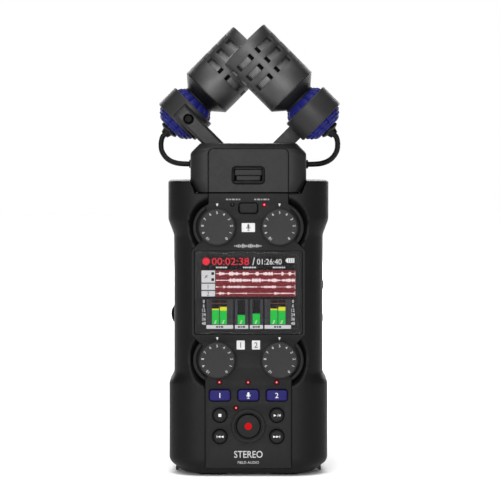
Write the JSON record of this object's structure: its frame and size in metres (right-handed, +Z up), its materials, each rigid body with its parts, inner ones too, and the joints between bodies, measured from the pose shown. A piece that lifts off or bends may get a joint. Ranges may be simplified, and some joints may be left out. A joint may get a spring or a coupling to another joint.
{
  "type": "handheld voice recorder",
  "caption": "Upright handheld stereo recorder with colour screen, gain knobs, transport buttons and a lift-off capsule of crossed shock-mounted microphones.",
  "frame": {"origin": "on the resting plane, under the middle of the body", "axes": "+Z up through the body to the microphones, -Y out of the front panel, +X to the right seen from the front"},
  "size_m": [0.0788, 0.0488, 0.1935],
  "materials": {
    "shell_plastic": "fine-textured black",
    "panel_plastic": "fine-textured charcoal",
    "control_plastic": "satin charcoal",
    "black_plastic": "satin black",
    "screen_glass": "smooth",
    "screen_module": "lit colour display",
    "circuit_board": "solder mask",
    "blue_plastic": "satin blue",
    "port_steel": "plain",
    "cell_wrap": "printed wrap",
    "brass": "machined",
    "mic_metal": "dark satin",
    "mesh_steel": "woven mesh",
    "blue_rubber": "moulded",
    "mount_plastic": "fine-textured",
    "screw_steel": "black oxide",
    "lead_rubber": "smooth"
  },
  "bodies": {
    "recorder_body": {"front_shell": "shell_plastic", "rear_shell": "shell_plastic", "front_panel": "panel_plastic", "screen_glass": "screen_glass", "lcd_module": "screen_module", "main_board": "circuit_board", "record_ring": "control_plastic", "combo_jack_left": "black_plastic", "combo_jack_right": "black_plastic", "usb_port": "port_steel", "line_jack": "black_plastic", "battery_tray": "black_plastic", "cell_left": "cell_wrap", "cell_right": "cell_wrap", "tripod_insert": "brass", "speaker": "black_plastic", "capsule_socket": "black_plastic"},
    "mic_capsule": {"capsule_housing": "panel_plastic", "capsule_base": "black_plastic", "mic_head_left": "mic_metal", "mic_mesh_left": "mesh_steel", "mic_element_left": "brass", "mic_stem_left": "black_plastic", "shock_mount_left": "blue_rubber", "mount_ring_left": "mount_plastic", "mic_arm_left": "mount_plastic", "arm_screw_left": "screw_steel", "lead_boot_left": "lead_rubber", "mic_lead_left": "lead_rubber", "mic_head_right": "mic_metal", "mic_mesh_right": "mesh_steel", "mic_element_right": "brass", "mic_stem_right": "black_plastic", "shock_mount_right": "blue_rubber", "mount_ring_right": "mount_plastic", "mic_arm_right": "mount_plastic", "arm_screw_right": "screw_steel", "lead_boot_right": "lead_rubber", "mic_lead_right": "lead_rubber"},
    "knob_upper_left": {"knob_upper_left": "control_plastic"},
    "knob_upper_right": {"knob_upper_right": "control_plastic"},
    "knob_lower_left": {"knob_lower_left": "control_plastic"},
    "knob_lower_right": {"knob_lower_right": "control_plastic"},
    "format_button": {"format_button": "control_plastic"},
    "track_button_1": {"track_button_1": "blue_plastic"},
    "track_button_mic": {"track_button_mic": "blue_plastic"},
    "track_button_2": {"track_button_2": "blue_plastic"},
    "stop_button": {"stop_button": "control_plastic"},
    "play_button": {"play_button": "control_plastic"},
    "rewind_button": {"rewind_button": "control_plastic"},
    "forward_button": {"forward_button": "control_plastic"},
    "record_button": {"record_button": "control_plastic"},
    "headphone_thumbwheel": {"headphone_thumbwheel": "black_plastic"},
    "jog_wheel": {"jog_wheel": "blue_plastic"},
    "power_slider": {"power_slider": "black_plastic"},
    "jack_release_left": {"jack_release_left": "black_plastic"},
    "jack_release_right": {"jack_release_right": "black_plastic"},
    "port_cover": {"port_cover": "black_plastic"},
    "battery_cover": {"battery_cover": "shell_plastic"},
    "capsule_latch": {"capsule_latch": "control_plastic"}
  },
  "joints": [
    {"name": "knob_upper_left_turn", "type": "hinge", "parent": "recorder_body", "child": "knob_upper_left", "pos_m": [-0.0133, -0.0217, 0.1073], "axis": [0, -1, 0], "range_deg": [-140, 140]},
    {"name": "knob_upper_right_turn", "type": "hinge", "parent": "recorder_body", "child": "knob_upper_right", "pos_m": [0.0133, -0.0217, 0.1073], "axis": [0, -1, 0], "range_deg": [-140, 140]},
    {"name": "knob_lower_left_turn", "type": "hinge", "parent": "recorder_body", "child": "knob_lower_left", "pos_m": [-0.0133, -0.0217, 0.0505], "axis": [0, -1, 0], "range_deg": [-140, 140]},
    {"name": "knob_lower_right_turn", "type": "hinge", "parent": "recorder_body", "child": "knob_lower_right", "pos_m": [0.0133, -0.0217, 0.0505], "axis": [0, -1, 0], "range_deg": [-140, 140]},
    {"name": "format_button_press", "type": "slide", "parent": "recorder_body", "child": "format_button", "axis": [0, 1, 0], "range_m": [0, 0.0007], "stiffness_N_per_m": 300},
    {"name": "track_button_1_press", "type": "slide", "parent": "recorder_body", "child": "track_button_1", "axis": [0, 1, 0], "range_m": [0, 0.0007], "stiffness_N_per_m": 300},
    {"name": "track_button_mic_press", "type": "slide", "parent": "recorder_body", "child": "track_button_mic", "axis": [0, 1, 0], "range_m": [0, 0.0007], "stiffness_N_per_m": 300},
    {"name": "track_button_2_press", "type": "slide", "parent": "recorder_body", "child": "track_button_2", "axis": [0, 1, 0], "range_m": [0, 0.0007], "stiffness_N_per_m": 300},
    {"name": "stop_button_press", "type": "slide", "parent": "recorder_body", "child": "stop_button", "axis": [0, 1, 0], "range_m": [0, 0.0007], "stiffness_N_per_m": 300},
    {"name": "play_button_press", "type": "slide", "parent": "recorder_body", "child": "play_button", "axis": [0, 1, 0], "range_m": [0, 0.0007], "stiffness_N_per_m": 300},
    {"name": "rewind_button_press", "type": "slide", "parent": "recorder_body", "child": "rewind_button", "axis": [0, 1, 0], "range_m": [0, 0.0007], "stiffness_N_per_m": 300},
    {"name": "forward_button_press", "type": "slide", "parent": "recorder_body", "child": "forward_button", "axis": [0, 1, 0], "range_m": [0, 0.0007], "stiffness_N_per_m": 300},
    {"name": "record_button_press", "type": "slide", "parent": "recorder_body", "child": "record_button", "axis": [0, 1, 0], "range_m": [0, 0.0007], "stiffness_N_per_m": 300},
    {"name": "headphone_thumbwheel_turn", "type": "hinge", "parent": "recorder_body", "child": "headphone_thumbwheel", "pos_m": [-0.02765, 0, 0.0687], "axis": [0, 1, 0], "range_deg": [-140, 140]},
    {"name": "jog_wheel_turn", "type": "hinge", "parent": "recorder_body", "child": "jog_wheel", "pos_m": [0.02705, 0, 0.0815], "axis": [0, 1, 0], "continuous": true},
    {"name": "power_slider_slide", "type": "slide", "parent": "recorder_body", "child": "power_slider", "axis": [0, 0, 1], "range_m": [-0.002, 0.002], "stiffness_N_per_m": 150},
    {"name": "jack_release_left_press", "type": "slide", "parent": "recorder_body", "child": "jack_release_left", "axis": [1, 0, 0], "range_m": [0, 0.001], "stiffness_N_per_m": 300},
    {"name": "jack_release_right_press", "type": "slide", "parent": "recorder_body", "child": "jack_release_right", "axis": [-1, 0, 0], "range_m": [0, 0.001], "stiffness_N_per_m": 300},
    {"name": "port_cover_hinge", "type": "hinge", "parent": "recorder_body", "child": "port_cover", "pos_m": [0.03205, -0.0016, 0.052], "axis": [0, 1, 0], "range_deg": [0, 100]},
    {"name": "battery_cover_hinge", "type": "hinge", "parent": "recorder_body", "child": "battery_cover", "pos_m": [0, 0.0196, 0.036], "axis": [-1, 0, 0], "range_deg": [0, 110]},
    {"name": "capsule_lift", "type": "slide", "parent": "recorder_body", "child": "mic_capsule", "axis": [0, 0, 1], "range_m": [0, 0.012]},
    {"name": "capsule_latch_press", "type": "slide", "parent": "mic_capsule", "child": "capsule_latch", "axis": [0, 1, 0], "range_m": [0, 0.0012], "stiffness_N_per_m": 400}
  ]
}
